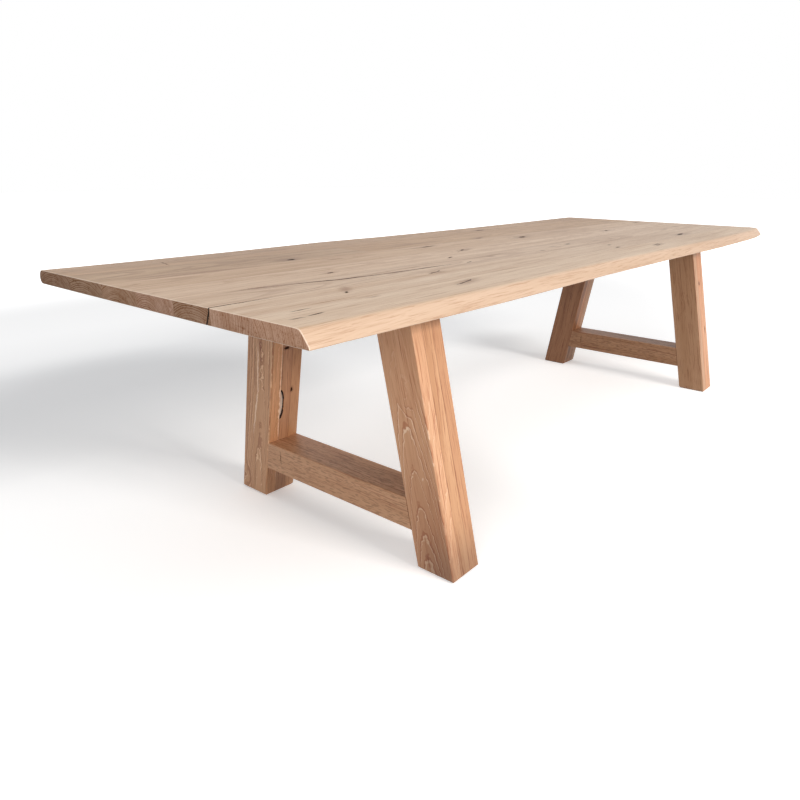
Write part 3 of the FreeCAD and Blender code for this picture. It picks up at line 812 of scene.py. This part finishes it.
front_board = live_board("top_front_edge_board", -1, FRONT_SECTION)
follow_edge(front_board, "top_front_edge_board", -1, FRONT_RAY_HEIGHT, FRONT_WAVE, FRONT_WANDER)
front_marks = [
    glue_line(-412), flat("dull", 720, -480, 1000, 400),
    flat("check", -945, -460, 70, 6, 10), flat("check", -905, -450, 60, 8, 18),
    flat("stain", -915, -455, 180, 60, 15), flat("check", -1405, -473, 60, 8, 4),
    flat("check", -1453, -476, 46, 6, -8), flat("check", -1400, -422, 64, 5),
    flat("stain", -1210, -428, 60, 20), flat("check", 285, -460, 100, 7, 8),
    flat("check", 270, -475, 80, 6, 6), flat("stain", 285, -467, 180, 50, 8),
]
FRONT_TONES = ("#ddc6ad", "#cbae92", "#ad8765", "#241811")
FRONT_EDGE_TONES = ("#d2b59d", "#c7a88d", "#ae8769", "#241811")
FRONT_GRAIN = (1, 0.012, 0)
FRONT_PITH = (0, -300, 700)
front_oak = oak("front", FRONT_GRAIN, FRONT_PITH, FRONT_TONES, front_marks, ring=5, taper=0.02, lines=0.35,
                drift=12, soak="#e1cfce", painted_arris_highlight=0.5, seed=14.9)
edge_oak = oak("front natural edge", FRONT_GRAIN, FRONT_PITH, FRONT_EDGE_TONES, front_marks, ring=5,
               taper=0.02, lines=0.15, drift=12, dash=0.25, soak="#e1cfce", painted_arris_highlight=0.5, seed=14.9)
dress(front_board, "top_front_edge_board", front_oak)
front_board.data.materials.append(edge_oak)
for face in front_board.data.polygons:
    face.material_index = int(face.normal.y < EDGE_FACING)

# The back board keeps its natural edge too, with the bark off. It is of browner oak than the front one.
# Its edge is steep, with a rounded nose, and the board widens towards the right end.
BACK_RAY_HEIGHT = 742 * MM
BACK_WAVE = 7 * MM
BACK_SECTION = [
    (10, 36), (5, 33), (1.8, 29.5), (0.3, 26), (0, 22), (0.7, 17.5), (2.3, 13), (4.6, 9), (7.2, 5.5),
    (10.2, 2.4), (13.2, 0.7), (17, 0),
]
BACK_WANDER = [(-1500, 9), (-950, 3), (-550, 15), (-250, 1), (300, 7), (1000, 15), (1500, 7)]
back_board = live_board("top_back_edge_board", 1, BACK_SECTION)
follow_edge(back_board, "top_back_edge_board", 1, BACK_RAY_HEIGHT, BACK_WAVE, BACK_WANDER)
back_marks = [
    glue_line(320), flat("dull", -850, 400, 1900, 600), flat("dull", 1300, 450, 900, 600),
    flat("check", -1228, 372, 4, 110, -14), flat("check", 310, 395, 110, 12, 6),
    flat("stain", 310, 395, 200, 70),
]
BACK_TONES = ("#c5a17d", "#ac8661", "#8e6949", "#241811")
back_oak = oak("back", (1, 0, 0), (0, 420, 640), BACK_TONES, back_marks, ring=5, taper=0.03, lines=0.45,
               drift=16, soak="#dfe4fd", painted_arris_highlight=0.5, seed=16.4)
dress(back_board, "top_back_edge_board", back_oak)

# The floor: a plain, pale, matt studio floor that keeps the table's soft shadow and runs out to white.
# What the camera sees of it glows by place: less in two patches behind the table, which are painted shadow,
# and more under the table, which is painted light. Each glow has a middle and half widths in metres, where
# it starts and stops changing as shares of those, and its strength inside and outside.
FLOOR_WIDTH = 60
FLOOR_PAINTED_LIGHT_AND_SHADOW = [
    # Painted shadow behind the near end, painted shadow behind the far trestle, painted light under the
    # table, white far off.
    ((-0.8, 1.5, 0), (0.9, 0.9, 1), (0.6, 1.25), (0.07, 0.24)),
    ((1.18, 0.85, 0), (0.45, 0.35, 1), (0.0, 1.0), (-0.14, 0.0)),
    ((0.5, -0.35, 0), (0.9, 0.8, 1), (0.8, 1.25), (0.16, 0.0)),
    ((0, 1.9, 0), (2.2, 1.2, 1), (1.6, 3.4), (0.0, 0.8)),
]


def seen(tree):
    """Whether a ray is one that shows the background: straight to the camera, in a shine or through glass."""
    rays = add(tree, "LightPath").outputs
    shown = add(tree, "Math", {"operation": "MAXIMUM"}, {0: rays["Is Camera Ray"], 1: rays["Is Glossy Ray"]})
    return add(tree, "Math", {"operation": "MAXIMUM"}, {0: shown, 1: rays["Is Transmission Ray"]})


bpy.ops.object.select_all(action="DESELECT")
bpy.ops.mesh.primitive_plane_add(size=FLOOR_WIDTH)
floor = bpy.context.object
floor.name = "floor"
pale_floor = bpy.data.materials.new("matt pale floor")
pale_floor.use_nodes = True
tree = pale_floor.node_tree
looked = seen(tree)
place = add(tree, "TexCoord").outputs["Object"]
glow = 0.0
for middle, half_size, (start, stop), (inside, outside) in FLOOR_PAINTED_LIGHT_AND_SHADOW:
    around = add(tree, "Mapping", {"vector_type": "TEXTURE"}, {
        "Vector": place, "Location": middle, "Scale": half_size,
    })
    away = add(tree, "VectorMath", {"operation": "LENGTH"}, {0: around})
    patch = add(tree, "MapRange", {"interpolation_type": "SMOOTHSTEP"}, {
        "Value": away.outputs["Value"], "From Min": start, "From Max": stop,
        "To Min": inside, "To Max": outside,
    })
    glow = add(tree, "Math", {"operation": "ADD"}, {0: glow, 1: patch})
lift = add(tree, "Math", {"operation": "MULTIPLY"}, {0: glow, 1: looked})
tint = add(tree, "MixRGB", None, {"Fac": looked, "Color1": linear("#9c9c9c"), "Color2": linear("#fafbfd")})
matt = tree.nodes["Principled BSDF"]
matt.inputs["Roughness"].default_value = 1
matt.inputs["Specular IOR Level"].default_value = 0
matt.inputs["Emission Color"].default_value = (1, 1, 1, 1)
tree.links.new(tint.outputs[0], matt.inputs["Base Color"])
tree.links.new(lift.outputs[0], matt.inputs["Emission Strength"])
floor.data.materials.append(pale_floor)

# The room: white walls and ceiling light the table softly from all round, the left wall most of all.
# Wherever the camera looks past the floor, the room shows as plain white.
LEFT_WALL_LIGHT = 1.0
RIGHT_WALL_LIGHT = 0.55
CEILING_LIGHT = 0.45
world = bpy.data.worlds.new("white room")
bpy.context.scene.world = world
world.use_nodes = True
tree = world.node_tree
looked = seen(tree)
way = add(tree, "SeparateXYZ", None, {0: add(tree, "TexCoord").outputs["Generated"]})
wall = add(tree, "MapRange", None, {
    "Value": way.outputs["X"], "From Min": -1.0, "To Min": LEFT_WALL_LIGHT, "To Max": RIGHT_WALL_LIGHT,
})
room = add(tree, "MapRange", None, {"Value": way.outputs["Z"], "To Min": wall, "To Max": CEILING_LIGHT})
white = add(tree, "Math", {"operation": "MAXIMUM"}, {0: room, 1: looked})
tree.nodes["Background"].inputs["Color"].default_value = (1, 1, 1, 1)
tree.links.new(white.outputs[0], tree.nodes["Background"].inputs["Strength"])

# One wide soft lamp stands low in front of the front edge, so the front faces are bright and the ends in
# shade. A weak one to the left of the camera opens that shade on the near end and the outsides of the legs.
LAMPS = {
    "front_lamp": {"place": (0, -11.24, 4.943), "aim": (0, 0, 0.74), "size": (4, 1.6), "power": 1050},
    "left_lamp": {"place": (-3.4, -1.9, 1.3), "aim": (-1.2, -0.2, 0.55), "size": (1.2, 1.2), "power": 20},
}
for name, lit in LAMPS.items():
    bpy.ops.object.light_add(type="AREA", location=lit["place"])
    lamp = bpy.context.object
    lamp.name = name
    lamp.data.shape = "RECTANGLE"
    lamp.data.size, lamp.data.size_y = lit["size"]
    lamp.data.energy = lit["power"]
    lamp.data.color = linear("#fffbf5")[:3]
    lamp.rotation_euler = (Vector(lit["aim"]) - Vector(lit["place"])).to_track_quat("-Z", "Y").to_euler()

# The camera stands where the photo's did, off the left end of the front edge, a little above the top.
# Its angles are in degrees, and its focal length and the middle of its picture in the photo's pixels.
CAMERA_PLACE = (-2.1755, -1.3970, 1.0094)
CAMERA_YAW = 53.04
CAMERA_PITCH = -18.85
CAMERA_ROLL = 0.73
FOCAL_PIXELS = 644.32
PICTURE_PIXELS = 800
MIDDLE_PIXEL = (464.09, 393.15)
bpy.ops.object.camera_add(location=CAMERA_PLACE)
camera = bpy.context.object
camera.rotation_euler = (math.radians(90 + CAMERA_PITCH), 0, math.radians(-CAMERA_YAW))
camera.rotation_euler.rotate_axis("Z", math.radians(CAMERA_ROLL))
camera.data.lens = camera.data.sensor_width * FOCAL_PIXELS / PICTURE_PIXELS
camera.data.shift_x = 0.5 - MIDDLE_PIXEL[0] / PICTURE_PIXELS
camera.data.shift_y = MIDDLE_PIXEL[1] / PICTURE_PIXELS - 0.5
bpy.context.scene.camera = camera
bpy.context.scene.view_settings.view_transform = "Standard"
